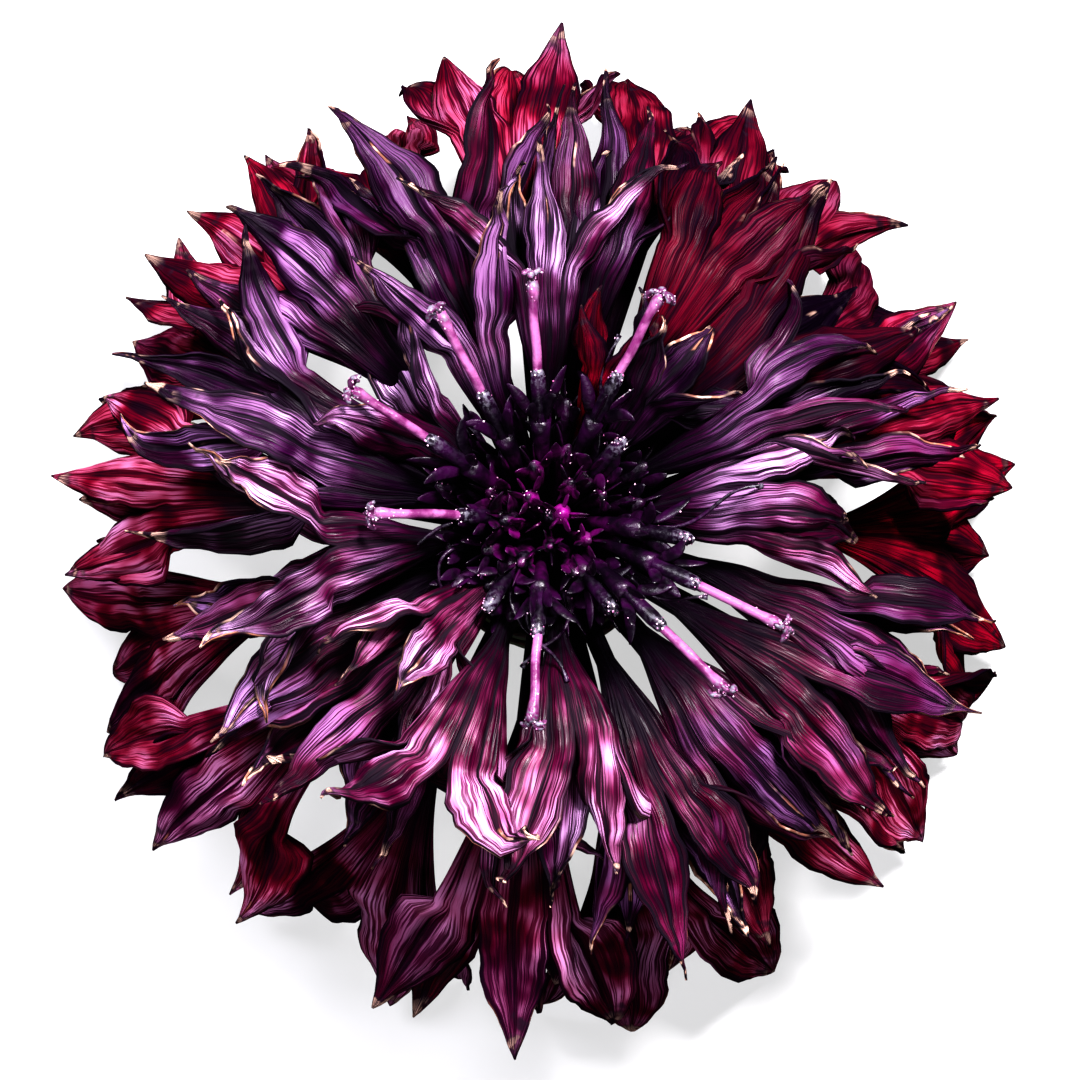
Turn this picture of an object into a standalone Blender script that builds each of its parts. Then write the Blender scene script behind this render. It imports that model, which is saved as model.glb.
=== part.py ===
"""A double cornflower head, nipped off just under its green cup and set down face up.

The cut end of the stem stands on the surface z = 0, the flower looks up along +Z, and its lowest
florets hang down to the same surface. Lengths are in metres. A floret's bearing is in degrees,
anticlockwise from +X as seen from above, and an elevation is in degrees above the horizon.
"""

import math

import bmesh
import bpy
from mathutils import Vector

MM = 0.001

# The stem's cut end and the receptacle that it widens into.
STEM_RADIUS = 1.1 * MM
STEM_LENGTH = 0.8 * MM
RECEPTACLE_RADIUS = 3.3 * MM
RECEPTACLE_TOP = 4.0 * MM
STEM_SIDES = 20

# The cup: four rows of scales, each row lying outside the next and ending lower.
BRACT_ROWS = 4
MOUTH_HEIGHT = 11.0 * MM
INNERMOST_BELLY = 4.0 * MM
INNERMOST_MOUTH = 3.95 * MM
INNERMOST_FOOT = 3.55 * MM
INNERMOST_FOOT_HEIGHT = 3.0 * MM
BRACT_THICKNESS = 0.24 * MM
BRACT_ROW_STEP = 0.34 * MM
MOUTH_STEP = 2.35 * MM
FOOT_STEP = 0.35 * MM
FOOT_HEIGHT_STEP = 0.5 * MM
BRACTS_IN_A_ROW = 8
SEGMENTS_IN_A_BRACT = 4
# How far up a row's side its scale reaches: the notch between two scales, a shoulder, the point,
# a shoulder.
BRACT_TOOTH = (0.74, 0.93, 1.0, 0.93)

# The florets' tubes stand just clear of the receptacle.
FOOT_HEIGHT = RECEPTACLE_TOP + 0.25 * MM
TUBE_RADIUS = 0.24 * MM
PETAL_THICKNESS = 0.16 * MM
SURFACE_CLEARANCE = 0.15 * MM
PATH_STEP = 0.05 * MM
# A floret that stops short of its tier's usual reach droops less: its tip is higher by this share.
LIFT_OF_SHORT_ONES = 0.35
# A short floret is smaller too, by its share of the usual reach and this much less.
SIZE_ALLOWANCE = 0.1
# Settling bends a resting floret only beyond this share of its reach.
SETTLING_STARTS = 0.4
# The droop of a floret grows with this power of the share of its length.
DROOP_POWER = 1.25
STEEPEST_FALL = -89.0
# The trumpet against the tube at its throat, and against its mouth part of the way along.
THROAT_WIDTH = 1.15
THROAT_HEIGHT = 1.1
HALFWAY = 0.45
HALFWAY_WIDTH = 0.62
HALFWAY_HEIGHT = 0.7
# A lobe is widest at this share of its length. Its flare goes mostly sideways and a little up.
LOBE_WIDEST = 0.5
LOBE_RISE = 0.3
LOBE_TURN = 0.5
LOBE_POINTS = 4


class Tier:
    """What the florets of one tier share."""

    def __init__(self, **named):
        self.name = named["name"]
        self.color = named["color"]
        self.foot_radius = named["foot_radius"] * MM
        self.straight_to = named["straight_to"] * MM
        self.bend_radius = named["bend_radius"] * MM
        self.launch = named["launch"]
        self.tip_height = named["tip_height"] * MM
        self.half_width = named["half_width"] * MM
        self.half_height = named["half_height"] * MM
        self.limb_length = named["limb_length"] * MM
        self.lobe_length = named["lobe_length"] * MM
        self.lobe_half_width = named["lobe_half_width"] * MM
        self.flare = named["flare"]
        self.lobes = named["lobes"]
        self.usual_reach = named["usual_reach"] * MM
        self.rests = named.get("rests", False)


SKIRT = Tier(name="skirt", color=(0.16, 0.006, 0.022), foot_radius=3.25, straight_to=11.2,
             bend_radius=2.0, launch=4, usual_reach=22, tip_height=1.2, half_width=1.75,
             half_height=0.85, limb_length=5.0, lobe_length=6.0, lobe_half_width=0.95,
             flare=10, lobes=5, rests=True)
SPREAD = Tier(name="spread", color=(0.20, 0.008, 0.030), foot_radius=3.25, straight_to=11.2,
              bend_radius=2.6, launch=19, usual_reach=22, tip_height=7.4, half_width=1.8,
              half_height=0.85, limb_length=5.0, lobe_length=6.2, lobe_half_width=1.0,
              flare=10, lobes=5)
MIDDLE = Tier(name="middle", color=(0.15, 0.008, 0.045), foot_radius=2.6, straight_to=11.4,
              bend_radius=3.2, launch=44, usual_reach=19, tip_height=13.9, half_width=1.65,
              half_height=0.85, limb_length=4.6, lobe_length=5.2, lobe_half_width=0.95,
              flare=5, lobes=5)
INNER = Tier(name="inner", color=(0.17, 0.012, 0.075), foot_radius=1.85, straight_to=11.8,
             bend_radius=3.4, launch=60, usual_reach=16, tip_height=18.0, half_width=1.45,
             half_height=0.85, limb_length=4.0, lobe_length=4.2, lobe_half_width=0.85,
             flare=3, lobes=5)

# Bearing, and how far the lobe tips reach from the flower's axis in millimetres.
TIERS = (
    (SKIRT, ((-1, 20.8), (33, 20.4), (72, 21.4), (117, 21.2), (155, 21.2), (195, 21.6),
             (244, 21.2), (284, 22.0), (331, 21.4))),
    (SPREAD, ((17, 20.2), (55, 20.4), (95, 22.2), (137, 21.8), (174, 21.2), (219, 22.6),
              (264, 22.4), (308, 20.8))),
    (MIDDLE, ((14, 18.5), (38, 18.2), (58, 19.2), (80, 19.0), (108, 19.2), (135, 19.6),
              (156, 18.6), (207, 17.6), (227, 17.0), (292, 19.4), (309, 19.0), (326, 19.6),
              (343, 19.4))),
    (INNER, ((2, 14.5), (25, 16.2), (47, 10.2), (69, 9.4), (91, 16.4), (113, 14.4), (145, 12.0),
             (169, 17.0), (192, 16.0), (226, 12.0), (249, 16.8), (275, 16.4))),
)

# Disc florets: bearing of the tip, its distance from the axis and its height in millimetres,
# and whether the style has grown out of the anther tube. The first one stands in the middle, and
# the rest stand evenly spaced round it, in the order of their bearings.
DISC_COLOR = (0.05, 0.004, 0.035)
DISC_FLORETS = ((0, 0.3, 18.6, False), (43, 4.8, 19.8, False), (62, 10.8, 22.2, True),
                (94, 10.2, 22.1, True), (119, 10.0, 21.9, True), (149, 10.2, 22.0, True),
                (182, 7.8, 21.6, True), (238, 5.3, 19.4, False), (266, 9.6, 21.8, True),
                (304, 5.6, 19.8, False), (314, 11.4, 22.0, True), (333, 11.6, 21.8, True),
                (348, 6.7, 20.8, False))
DISC_FOOT_RING = 0.85 * MM
FIRST_DISC_FOOT = 40
DISC_KNEE = 16.0 * MM
DISC_SHOULDER_BELOW_TIP = 2.6 * MM
STYLED_SHOULDER_BELOW_TIP = 1.6 * MM
DISC_SHOULDER_SPREAD = 0.5
DISC_SIDES = 6
# Radius along a disc floret: (share of its length, millimetres).
BUD_PROFILE = ((0.0, 0.18), (0.5, 0.2), (0.68, 0.36), (0.72, 0.27), (0.93, 0.33), (1.0, 0.14))
STYLED_PROFILE = ((0.0, 0.18), (0.5, 0.2), (0.64, 0.34), (0.67, 0.26), (0.8, 0.3), (0.82, 0.15),
                  (0.98, 0.15), (1.0, 0.22))


def clear_scene():
    for old in list(bpy.data.objects):
        bpy.data.objects.remove(old, do_unlink=True)


def tissue(name, color, roughness):
    material = bpy.data.materials.new(name)
    material.use_nodes = True
    shader = material.node_tree.nodes["Principled BSDF"]
    shader.inputs["Base Color"].default_value = (*color, 1.0)
    shader.inputs["Roughness"].default_value = roughness
    return material


def add_node(name, mesh, material, collection):
    mesh.materials.append(material)
    node = bpy.data.objects.new(name, mesh)
    collection.objects.link(node)
    return node


def mesh_from_faces(name, points, faces):
    built = bmesh.new()
    corners = [built.verts.new(point) for point in points]
    for face in faces:
        built.faces.new([corners[index] for index in face])
    bmesh.ops.recalc_face_normals(built, faces=built.faces)
    mesh = bpy.data.meshes.new(name)
    built.to_mesh(mesh)
    built.free()
    return mesh


def thicken(node, thickness):
    shell = node.modifiers.new("Thickness", "SOLIDIFY")
    shell.thickness = thickness
    shell.offset = 0.0


def stem_and_receptacle(collection):
    """The peduncle's cut end flaring into the receptacle, turned from its half outline."""
    outline = (
        (0.0, 0.0),
        (STEM_RADIUS, 0.0),
        (STEM_RADIUS, STEM_LENGTH),
        (2.1 * MM, 1.7 * MM),
        (3.0 * MM, 2.5 * MM),
        (RECEPTACLE_RADIUS, 3.4 * MM),
        (RECEPTACLE_RADIUS - 0.25 * MM, RECEPTACLE_TOP),
        (0.0, RECEPTACLE_TOP),
    )
    mesh = bpy.data.meshes.new("stem_and_receptacle")
    mesh.from_pydata([(r, 0.0, z) for r, z in outline],
                     [(i, i + 1) for i in range(len(outline) - 1)], [])
    material = tissue("stem_green", (0.10, 0.16, 0.05), 0.7)
    node = add_node("stem_and_receptacle", mesh, material, collection)
    turn = node.modifiers.new("Turn", "SCREW")
    turn.angle = 2 * math.pi
    turn.steps = STEM_SIDES
    turn.render_steps = STEM_SIDES
    turn.use_merge_vertices = True
    turn.merge_threshold = 1e-6
    turn.use_normal_calculate = True
    return node


def bract_row(number, collection):
    """One row of scales, grown together at the foot. Row 1 is the outermost and the shortest."""
    rows_inside = BRACT_ROWS - number
    outward = rows_inside * BRACT_ROW_STEP
    tip_height = MOUTH_HEIGHT - rows_inside * MOUTH_STEP
    foot_height = INNERMOST_FOOT_HEIGHT - rows_inside * FOOT_HEIGHT_STEP
    foot_radius = INNERMOST_FOOT - rows_inside * FOOT_STEP
    belly = INNERMOST_BELLY + outward
    mouth = INNERMOST_MOUTH + outward
    steps = BRACTS_IN_A_ROW * SEGMENTS_IN_A_BRACT
    levels = ((foot_radius, 0.0), (0.96 * belly, 0.08), (belly, 0.42), (mouth, 1.0))
    points = []
    for radius, share in levels:
        for step in range(steps):
            angle = 2 * math.pi * (step + 2 * (number % 2)) / steps
            rise = BRACT_TOOTH[step % SEGMENTS_IN_A_BRACT] if share == 1.0 else share
            points.append(Vector((radius * math.cos(angle), radius * math.sin(angle),
                                  foot_height + rise * (tip_height - foot_height))))
    faces = []
    for level in range(len(levels) - 1):
        for step in range(steps):
            after = (step + 1) % steps
            faces.append((level * steps + step, level * steps + after,
                          (level + 1) * steps + after, (level + 1) * steps + step))
    name = f"bract_row_{number}"
    material = tissue(name + "_green", (0.07, 0.12, 0.04), 0.65)
    node = add_node(name, mesh_from_faces(name, points, faces), material, collection)
    thicken(node, BRACT_THICKNESS)
    return node


class Path:
    """A curve in a vertical plane through the flower's axis, as samples along its length."""

    def __init__(self, bearing):
        angle = math.radians(bearing)
        self.outward = Vector((math.cos(angle), math.sin(angle), 0.0))
        self.sideways = Vector((-math.sin(angle), math.cos(angle), 0.0))
        self.samples = []

    def start(self, radius, height):
        self.samples = [(radius, height, 90.0)]

    def run(self, length, elevation_at):
        """Goes on for a length, with the elevation given as a function of the share done."""
        steps = max(2, round(length / PATH_STEP))
        radius, height, _ = self.samples[-1]
        for step in range(steps):
            elevation = elevation_at((step + 0.5) / steps)
            radius += math.cos(math.radians(elevation)) * length / steps
            height += math.sin(math.radians(elevation)) * length / steps
            self.samples.append((radius, height, elevation))

    def at(self, share):
        """Centre, and the direction that is upwards across the path, at a share of the samples."""
        radius, height, elevation = self.samples[round(share * (len(self.samples) - 1))]
        tilt = math.radians(elevation)
        centre = self.outward * radius + Vector((0.0, 0.0, height))
        across = -math.sin(tilt) * self.outward + Vector((0.0, 0.0, math.cos(tilt)))
        return centre, across


def drooping(launch, end):
    """Elevation along the free part of a floret, from its launch to its end."""
    return lambda share: launch + (end - launch) * share ** DROOP_POWER


def falling_to(tier, radius, height, reach, tip_height):
    """The end elevation and the length with which a floret meets its reach and its tip height."""
    samples = 40
    low, high = STEEPEST_FALL, tier.launch
    for _ in range(30):
        end = (low + high) / 2
        course = drooping(tier.launch, end)
        angles = [math.radians(course((i + 0.5) / samples)) for i in range(samples)]
        length = (reach - radius) * samples / sum(math.cos(angle) for angle in angles)
        rise = length * sum(math.sin(angle) for angle in angles) / samples
        low, high = (end, high) if height + rise < tip_height else (low, end)
    return end, length


def floret_path(tier, bearing, reach):
    """Up through the cup's mouth, over a bend, then out and down to the reach and the tip height."""
    path = Path(bearing)
    path.start(tier.foot_radius, FOOT_HEIGHT)
    path.run(tier.straight_to - FOOT_HEIGHT, lambda share: 90.0)
    bend = math.radians(90.0 - tier.launch) * tier.bend_radius
    path.run(bend, lambda share: 90.0 + (tier.launch - 90.0) * share)
    radius, height, _ = path.samples[-1]
    tip_height = tier.tip_height + LIFT_OF_SHORT_ONES * (tier.usual_reach - reach)
    end, length = falling_to(tier, radius, height, reach, tip_height)
    path.run(length, drooping(tier.launch, end))
    return path


class Corolla:
    """A floret's surface as it grows: its rings of points and the faces between them.

    The slim tube has one point for each lobe. The trumpet has two, a notch and a rib, and each
    lobe springs from a rib and the notches on both sides of it.
    """

    def __init__(self, tier, bearing, reach):
        self.tier = tier
        self.path = floret_path(tier, bearing, reach)
        self.length = len(self.path.samples) * PATH_STEP
        self.size = min(1.0, reach / tier.usual_reach + SIZE_ALLOWANCE)
        self.half_width = self.size * tier.half_width
        self.half_height = self.size * tier.half_height
        self.lobe_share = self.size * tier.lobe_length / self.length
        self.limb_share = self.size * tier.limb_length / self.length
        self.mouth = 1.0 - self.lobe_share
        self.turn = math.pi / 2 - math.pi / tier.lobes
        self.points, self.faces = [], []

    def angle(self, rib):
        return self.turn + 2 * math.pi * rib / self.tier.lobes

    def ring(self, share, half_width, half_height, ribs):
        centre, across = self.path.at(share)
        for rib in ribs:
            self.points.append(centre + self.path.sideways * (half_width * math.cos(self.angle(rib)))
                               + across * (half_height * math.sin(self.angle(rib))))

    def tube(self):
        n = self.tier.lobes
        throat = self.mouth - self.limb_share
        bend_start = (self.tier.straight_to - FOOT_HEIGHT) / self.length
        ribs = [k + 0.5 for k in range(n)]
        for share in (0.0, bend_start, (bend_start + throat) / 2):
            self.ring(share, TUBE_RADIUS, TUBE_RADIUS, ribs)
        self.ring(throat, THROAT_WIDTH * TUBE_RADIUS, THROAT_HEIGHT * TUBE_RADIUS, ribs)
        self.faces.append(tuple(range(n)))
        self.join(0, 3, n)

    def join(self, first, rows, count):
        """Quads between rings of equal counts that follow each other."""
        for row in range(rows):
            here, there = first + row * count, first + (row + 1) * count
            for k in range(count):
                after = (k + 1) % count
                self.faces.append((here + k, here + after, there + after, there + k))

    def trumpet(self):
        n = self.tier.lobes
        last, first = len(self.points) - n, len(self.points)
        ribs = [k / 2 for k in range(2 * n)]
        halfway = self.mouth - (1 - HALFWAY) * self.limb_share
        self.ring(halfway, HALFWAY_WIDTH * self.half_width, HALFWAY_HEIGHT * self.half_height, ribs)
        self.ring(self.mouth, self.half_width, self.half_height, ribs)
        for k in range(n):
            here, after = last + k, last + (k + 1) % n
            rib = first + 2 * k + 1
            notch, next_rib = first + (2 * k + 2) % (2 * n), first + (2 * k + 3) % (2 * n)
            self.faces += [(here, notch, rib), (here, after, notch), (after, next_rib, notch)]
        self.join(first, 1, 2 * n)

    def lobe(self, number):
        n = self.tier.lobes
        rim = len(self.points) - (2 * n + LOBE_POINTS * number)
        angle = self.angle(number + 0.5)
        middle = self.lobe_spot(self.mouth + LOBE_WIDEST * self.lobe_share, angle)
        tip = self.lobe_spot(1.0, angle)
        _, across = self.path.at(self.mouth + LOBE_WIDEST * self.lobe_share)
        lateral = (-math.sin(angle) * self.path.sideways
                   + LOBE_TURN * math.cos(angle) * across).normalized()
        lateral *= self.size * self.tier.lobe_half_width
        base = len(self.points)
        self.points += [middle - lateral, middle, middle + lateral, tip]
        left, rib, right = rim + 2 * number, rim + 2 * number + 1, rim + (2 * number + 2) % (2 * n)
        self.faces += [(left, rib, base + 1, base), (rib, right, base + 2, base + 1),
                       (base, base + 1, base + 3), (base + 1, base + 2, base + 3)]

    def lobe_spot(self, share, angle):
        """A point on a lobe's middle line, which flares away from the floret's own middle."""
        centre, across = self.path.at(share)
        past = (share - self.mouth) * self.length * math.tan(math.radians(self.tier.flare))
        return (centre + self.path.sideways * ((self.half_width + past) * math.cos(angle))
                + across * ((self.half_height + LOBE_RISE * past) * math.sin(angle)))


def floret(tier, number, bearing, reach_mm, collection):
    """A corolla: a narrow tube that opens into a flattened trumpet and splits into pointed lobes."""
    corolla = Corolla(tier, bearing, reach_mm * MM)
    corolla.tube()
    corolla.trumpet()
    for lobe in range(tier.lobes):
        corolla.lobe(lobe)
    if tier.rests:
        settle(corolla.points, corolla.path)
    name = f"{tier.name}_floret_{number}"
    material = tissue(name + "_petal", tier.color, 0.6)
    mesh = mesh_from_faces(name, corolla.points, corolla.faces)
    node = add_node(name, mesh, material, collection)
    thicken(node, PETAL_THICKNESS)
    return node


def settle(points, path):
    """Bends the outer half of a floret so that its lowest lobe tip just meets the surface."""
    lowest = min(point.z for point in points)
    drop = lowest - SURFACE_CLEARANCE
    far = max(point.dot(path.outward) for point in points)
    for point in points:
        share = max(0.0, point.dot(path.outward) / far - SETTLING_STARTS) / (1 - SETTLING_STARTS)
        point.z = max(SURFACE_CLEARANCE, point.z - drop * share ** 2)


def disc_foot(number):
    """Where a disc floret stands on the receptacle."""
    if number == 1:
        return Vector((0.0, 0.0, FOOT_HEIGHT))
    share = (number - 2) / (len(DISC_FLORETS) - 1)
    angle = math.radians(FIRST_DISC_FOOT) + 2 * math.pi * share
    return Vector((DISC_FOOT_RING * math.cos(angle), DISC_FOOT_RING * math.sin(angle), FOOT_HEIGHT))


def disc_course(start, tip, styled):
    """A cubic curve from the foot to the tip, as functions for its centre and its direction."""
    knee = Vector((start.x, start.y, DISC_KNEE))
    below = STYLED_SHOULDER_BELOW_TIP if styled else DISC_SHOULDER_BELOW_TIP
    shoulder = Vector((DISC_SHOULDER_SPREAD * start.x, DISC_SHOULDER_SPREAD * start.y, tip.z - below))

    def centre(share):
        rest = 1 - share
        return (start * rest ** 3 + knee * 3 * rest ** 2 * share
                + shoulder * 3 * rest * share ** 2 + tip * share ** 3)

    def ahead(share):
        rest = 1 - share
        return ((knee - start) * rest ** 2 + (shoulder - knee) * 2 * rest * share
                + (tip - shoulder) * share ** 2).normalized()

    return centre, ahead


def disc_floret(number, bearing, reach, height, styled, collection):
    """A dark upright tube with its anther tube and style, swept as one slim turned shape."""
    angle = math.radians(bearing)
    tip = Vector((reach * math.cos(angle), reach * math.sin(angle), height)) * MM
    centre, ahead = disc_course(disc_foot(number), tip, styled)
    profile = STYLED_PROFILE if styled else BUD_PROFILE
    points, faces = [], []
    for share, radius in profile:
        side = ahead(share).cross(Vector((math.sin(angle), -math.cos(angle), 0.0))).normalized()
        other = ahead(share).cross(side)
        for k in range(DISC_SIDES):
            turn = 2 * math.pi * k / DISC_SIDES
            way = side * math.cos(turn) + other * math.sin(turn)
            points.append(centre(share) + way * radius * MM)
    for row in range(len(profile) - 1):
        for k in range(DISC_SIDES):
            after = (k + 1) % DISC_SIDES
            here, there = row * DISC_SIDES, (row + 1) * DISC_SIDES
            faces.append((here + k, here + after, there + after, there + k))
    faces.append(tuple(range(DISC_SIDES)))
    faces.append(tuple(range(len(points) - DISC_SIDES, len(points))))
    name = f"disc_floret_{number}"
    material = tissue(name + "_petal", DISC_COLOR, 0.6)
    return add_node(name, mesh_from_faces(name, points, faces), material, collection)


def build():
    """Clears the scene and grows the flower in a collection of its own."""
    clear_scene()
    flower = bpy.data.collections.new("cornflower")
    bpy.context.scene.collection.children.link(flower)
    stem_and_receptacle(flower)
    for number in range(1, BRACT_ROWS + 1):
        bract_row(number, flower)
    for tier, places in TIERS:
        for number, (bearing, reach) in enumerate(places, start=1):
            floret(tier, number, bearing, reach, flower)
    for number, place in enumerate(DISC_FLORETS, start=1):
        disc_floret(number, *place, flower)


build()
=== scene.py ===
import math
from dataclasses import dataclass
import bpy
import numpy as np
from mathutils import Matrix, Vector


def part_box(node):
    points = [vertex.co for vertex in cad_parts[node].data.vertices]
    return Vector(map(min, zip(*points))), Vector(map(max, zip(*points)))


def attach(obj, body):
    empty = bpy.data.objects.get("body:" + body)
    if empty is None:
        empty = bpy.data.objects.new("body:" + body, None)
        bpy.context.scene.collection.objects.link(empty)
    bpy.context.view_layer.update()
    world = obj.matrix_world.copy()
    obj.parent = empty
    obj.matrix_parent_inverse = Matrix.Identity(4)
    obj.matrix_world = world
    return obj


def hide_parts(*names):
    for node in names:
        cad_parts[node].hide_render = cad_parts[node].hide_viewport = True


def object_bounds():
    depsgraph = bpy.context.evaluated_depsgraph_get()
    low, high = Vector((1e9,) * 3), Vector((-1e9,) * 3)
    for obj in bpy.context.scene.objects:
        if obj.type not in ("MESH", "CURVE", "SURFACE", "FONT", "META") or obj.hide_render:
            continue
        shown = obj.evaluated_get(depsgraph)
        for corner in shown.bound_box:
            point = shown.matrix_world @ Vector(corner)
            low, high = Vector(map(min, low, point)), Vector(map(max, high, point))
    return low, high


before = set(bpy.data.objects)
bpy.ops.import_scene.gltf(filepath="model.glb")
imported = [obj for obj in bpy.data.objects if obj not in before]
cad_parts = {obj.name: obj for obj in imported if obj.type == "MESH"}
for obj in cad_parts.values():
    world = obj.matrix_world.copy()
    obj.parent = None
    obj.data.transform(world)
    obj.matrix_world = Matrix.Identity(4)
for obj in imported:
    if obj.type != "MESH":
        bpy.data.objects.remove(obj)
cad_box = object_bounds()
MM = 0.001


# ---- Stem end and receptacle -------------------------------------------------------------
# The flower was nipped off just under its cup. The pale green stem is ribbed and a little
# woolly, and it widens inside the cup into the receptacle that every floret stands on.
stem_low, stem_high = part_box("stem_and_receptacle")
AXIS = Vector(((stem_low.x + stem_high.x) / 2, (stem_low.y + stem_high.y) / 2, 0.0))
CENTRE = np.array(AXIS)
FLOOR = stem_low.z
STEM_SIDES = 72
STEM_RIBS = 9
STEM_RIB_SHARE = 0.035
# Radius and height in mm, from the cut end to the top of the receptacle.
STEM_OUTLINE = ((0.9, 0.0), (1.08, 0.08), (1.1, 0.8), (1.5, 1.2), (2.1, 1.7), (2.6, 2.1),
                (3.0, 2.55), (3.24, 3.0), (3.3, 3.4), (3.22, 3.75), (2.95, 3.98))


def cad_corners(node):
    return np.array([v.co[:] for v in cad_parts[node].data.vertices])


def placed(name, data):
    """Puts a mesh, lamp or camera into the scene as an object at the origin."""
    piece = bpy.data.objects.new(name, data)
    bpy.context.scene.collection.objects.link(piece)
    return piece


def skin(name, points, faces, material):
    """A mesh piece with smooth faces that point outwards, at the origin, made of one material."""
    mesh = bpy.data.meshes.new(name)
    mesh.from_pydata([tuple(p) for p in points], [], faces)
    mesh.materials.append(material)
    for face in mesh.polygons:
        face.use_smooth = True
    mesh.update()
    return placed(name, mesh)


def stands_for(piece, node, slot):
    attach(piece, "root")
    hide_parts(node)


def ring_faces(rings, sides, base=0):
    """Faces between closed rings of points, and a cap at both ends."""
    faces = []
    for ring in range(rings - 1):
        low, high = base + ring * sides, base + (ring + 1) * sides
        for side in range(sides):
            after = (side + 1) % sides
            faces.append((low + side, low + after, high + after, high + side))
    faces.append(tuple(range(base + sides - 1, base - 1, -1)))
    faces.append(tuple(range(base + (rings - 1) * sides, base + rings * sides)))
    return faces


def add_node(tree, kind, inputs, **settings):
    """Adds a node and returns its outputs. An input takes a value or another node's output."""
    node = tree.nodes.new(kind)
    for key, value in settings.items():
        setattr(node, key, value)
    for key, value in inputs.items():
        if isinstance(value, bpy.types.NodeSocket):
            tree.links.new(value, node.inputs[key])
        else:
            node.inputs[key].default_value = value
    return node.outputs


class Tissue:
    """A plant tissue's material: its shader, and short ways to wire textures and mixes into it."""

    def __init__(self, name, roughness, **constant):
        self.material = bpy.data.materials.new(name)
        self.material.use_nodes = True
        self.tree = self.material.node_tree
        self.shader = self.tree.nodes["Principled BSDF"].inputs
        self.shader["Roughness"].default_value = roughness
        for socket, value in constant.items():
            self.shader[socket.replace("_", " ")].default_value = value

    def noise(self, scale, detail=2.0, roughness=0.6, vector=None):
        inputs = {"Vector": vector or self.place(), "Scale": scale, "Detail": detail,
                  "Roughness": roughness}
        return add_node(self.tree, "ShaderNodeTexNoise", inputs)["Fac"]

    def step(self, value, low, high, to_low=0.0, to_high=1.0):
        """Goes smoothly from to_low to to_high while the value goes from low to high."""
        inputs = {"Value": value, "From Min": low, "From Max": high, "To Min": to_low, "To Max": to_high}
        return add_node(self.tree, "ShaderNodeMapRange", inputs, interpolation_type="SMOOTHSTEP")["Result"]

    def maths(self, operation, first, *others):
        """Works through the values from left to right with one operation."""
        for other in others:
            first = add_node(self.tree, "ShaderNodeMath", {0: first, 1: other}, operation=operation)[0]
        return first

    def times(self, *values):
        return self.maths("MULTIPLY", *values)

    def plus(self, *values):
        return self.maths("ADD", *values)

    def mix(self, factor, first, second):
        first, second = (color if isinstance(color, bpy.types.NodeSocket) else (*color, 1.0)
                         for color in (first, second))
        inputs = {"Factor": factor, "A": first, "B": second}
        return add_node(self.tree, "ShaderNodeMix", inputs, data_type="RGBA")["Result"]

    def attribute(self, name):
        return add_node(self.tree, "ShaderNodeAttribute", {}, attribute_name=name)["Fac"]

    def place(self):
        return add_node(self.tree, "ShaderNodeTexCoord", {})["Object"]

    def bump(self, height, strength, depth):
        inputs = {"Strength": strength, "Distance": depth, "Height": height}
        self.tree.links.new(add_node(self.tree, "ShaderNodeBump", inputs)["Normal"], self.shader["Normal"])

    def finish(self, color, roughness=None):
        self.tree.links.new(color, self.shader["Base Color"])
        if roughness is not None:
            self.tree.links.new(roughness, self.shader["Roughness"])
        return self.material


def stem_tissue(dark, pale):
    tissue = Tissue("stem_green", roughness=0.62)
    fibre = tissue.noise(900.0, detail=4.0)
    cloud = tissue.noise(260.0)
    tissue.bump(fibre, strength=0.4, depth=0.08 * MM)
    blend = tissue.times(tissue.step(fibre, 0.3, 0.7), tissue.step(cloud, 0.2, 0.8))
    return tissue.finish(tissue.mix(blend, dark, pale))


stem_points = []
for radius, height in STEM_OUTLINE:
    for side in range(STEM_SIDES):
        angle = 2 * math.pi * side / STEM_SIDES
        ribbed = radius * (1 + STEM_RIB_SHARE * math.cos(STEM_RIBS * angle))
        stem_points.append(AXIS + Vector((ribbed * math.cos(angle), ribbed * math.sin(angle), height)) * MM)
stem_green = stem_tissue(dark=(0.10, 0.15, 0.05), pale=(0.26, 0.33, 0.14))
stem = skin("stem_end", stem_points, ring_faces(len(STEM_OUTLINE), STEM_SIDES), stem_green)
stands_for(stem, "stem_and_receptacle", "stem")


# ---- Bracts ------------------------------------------------------------------------------
# Four rows of leathery green scales lie over each other like roof tiles and make the cup that
# holds the tubes. Each scale has a dark papery margin cut into fine teeth.
BRACT_ROWS = 4
BRACTS_IN_A_ROW = 10
BRACT_THICKNESS = 0.2 * MM
BRACT_OVERLAP = 1.35
BRACT_BULGE = 0.16 * MM
BRACT_TIP_LEAN = 0.1 * MM
BRACT_TEETH = 9
# Where a scale's teeth and its dark margin begin, as shares of its height.
TEETH_START = 0.4
MARGIN_START = 0.45
# How far each row is turned against the one below it, in radians.
ROW_TURN = 0.314
CUP_STATIONS = 9
STATION_REACH = 0.16


def cup_outline(row):
    """Radius of a CAD bract row at its heights, from its foot to its tips."""
    spots = cad_corners(row) - CENTRE
    reach = np.hypot(spots[:, 0], spots[:, 1])
    low, high = spots[:, 2].min(), spots[:, 2].max()
    radii = []
    for share in np.linspace(0.0, 1.0, CUP_STATIONS):
        near = np.abs(spots[:, 2] - (low + share * (high - low))) < STATION_REACH * (high - low)
        radii.append(np.median(reach[near]))
    return low, high, np.array(radii)


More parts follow.
